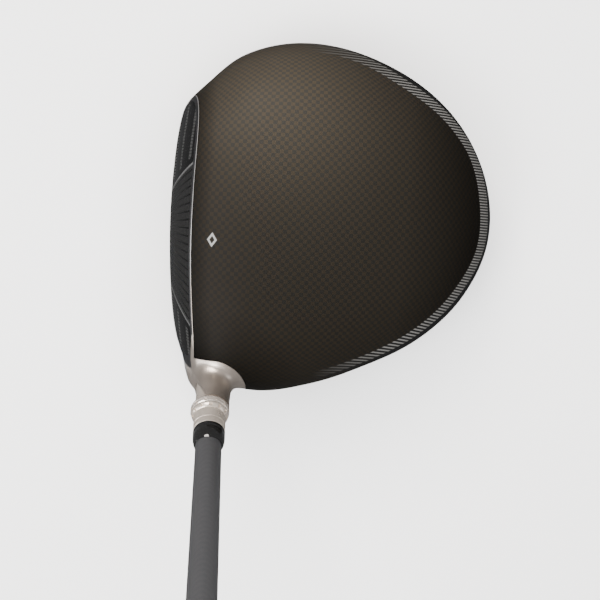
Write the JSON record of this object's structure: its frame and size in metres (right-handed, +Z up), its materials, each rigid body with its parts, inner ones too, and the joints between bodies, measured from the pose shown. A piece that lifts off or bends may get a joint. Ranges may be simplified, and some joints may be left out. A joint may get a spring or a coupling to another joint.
{
  "type": "golf driver",
  "caption": "Golf driver with a hollow titanium and carbon head, an adjustable loft sleeve, screw-in weights, a tapered graphite shaft and a rubber grip.",
  "frame": {"origin": "centre of the flat rest pad under the head, on the ground", "axes": "+Z up from the ground, +X from the striking face to the back of the head, +Y from the heel to the toe; the shaft leans over -Y at its 58 degree lie"},
  "size_m": [0.1169, 0.7128, 0.9918],
  "materials": {
    "crown_carbon": "satin clear coat over carbon weave",
    "sole_carbon": "satin clear coat over carbon weave",
    "ring_aluminium": "black anodised",
    "chassis_titanium": "satin titanium",
    "slot_rubber": "matte",
    "face_carbon": "gloss",
    "face_film": "gloss with fine grooves",
    "weight_steel": "satin",
    "screw_steel": "satin",
    "sleeve_aluminium": "polished champagne anodised",
    "index_ring_metal": "champagne anodised",
    "ferrule_plastic": "polished black",
    "dark_screw": "dark zinc",
    "retainer_rubber": "matte",
    "shaft_graphite": "satin grey",
    "plug_brass": "raw",
    "tape_paper": "matte",
    "grip_rubber": "textured"
  },
  "bodies": {
    "club": {"shaft": "shaft_graphite", "tip_plug": "plug_brass", "grip_tape": "tape_paper", "grip_sleeve": "grip_rubber", "grip_cap": "grip_rubber", "ferrule": "ferrule_plastic", "loft_sleeve": "sleeve_aluminium"},
    "index": {"index_ring": "index_ring_metal"},
    "head": {"head_chassis": "chassis_titanium", "crown_panel": "crown_carbon", "sole_panel": "sole_carbon", "skirt_ring": "ring_aluminium", "face_plate": "face_carbon", "face_cover": "face_film", "slot_insert": "slot_rubber", "screw_retainer": "retainer_rubber"},
    "washer": {"screw_washer": "screw_steel"},
    "screw": {"sleeve_screw": "dark_screw"},
    "front_slug": {"front_weight": "weight_steel"},
    "front_screw": {"front_weight_screw": "screw_steel"},
    "rear_slug": {"rear_weight": "weight_steel"},
    "rear_screw": {"rear_weight_screw": "screw_steel"}
  },
  "joints": [
    {"name": "loft_turn", "type": "hinge", "parent": "club", "child": "index", "pos_m": [-0.0261, -0.0631, 0.0646], "axis": [0, -0.515, 0.8572], "continuous": true},
    {"name": "head_off", "type": "slide", "parent": "index", "child": "head", "axis": [0, 0.515, -0.8572], "range_m": [0, 0.045]},
    {"name": "screw_travel", "type": "slide", "parent": "head", "child": "washer", "axis": [0, 0.515, -0.8572], "range_m": [0, 0.008]},
    {"name": "screw_turn", "type": "hinge", "parent": "washer", "child": "screw", "pos_m": [-0.0261, -0.0631, 0.0646], "axis": [0, 0.515, -0.8572], "range_deg": [0, 3605]},
    {"name": "front_weight_travel", "type": "slide", "parent": "head", "child": "front_slug", "axis": [0, 0, -1], "range_m": [0, 0.00525]},
    {"name": "front_screw_turn", "type": "hinge", "parent": "front_slug", "child": "front_screw", "pos_m": [-0.0175, 0.006, 0], "axis": [0, 0, -1], "range_deg": [0, 2705]},
    {"name": "rear_weight_travel", "type": "slide", "parent": "head", "child": "rear_slug", "axis": [0.9063, 0, -0.4226], "range_m": [0, 0.00525]},
    {"name": "rear_screw_turn", "type": "hinge", "parent": "rear_slug", "child": "rear_screw", "pos_m": [0.07004, 0, 0.0215], "axis": [0.9063, 0, -0.4226], "range_deg": [0, 2705]}
  ],
  "couplings": [
    {"joint": "screw_turn", "follows": "screw_travel", "rad_per_m": 7854},
    {"joint": "front_screw_turn", "follows": "front_weight_travel", "rad_per_m": 8976},
    {"joint": "rear_screw_turn", "follows": "rear_weight_travel", "rad_per_m": 8976}
  ]
}
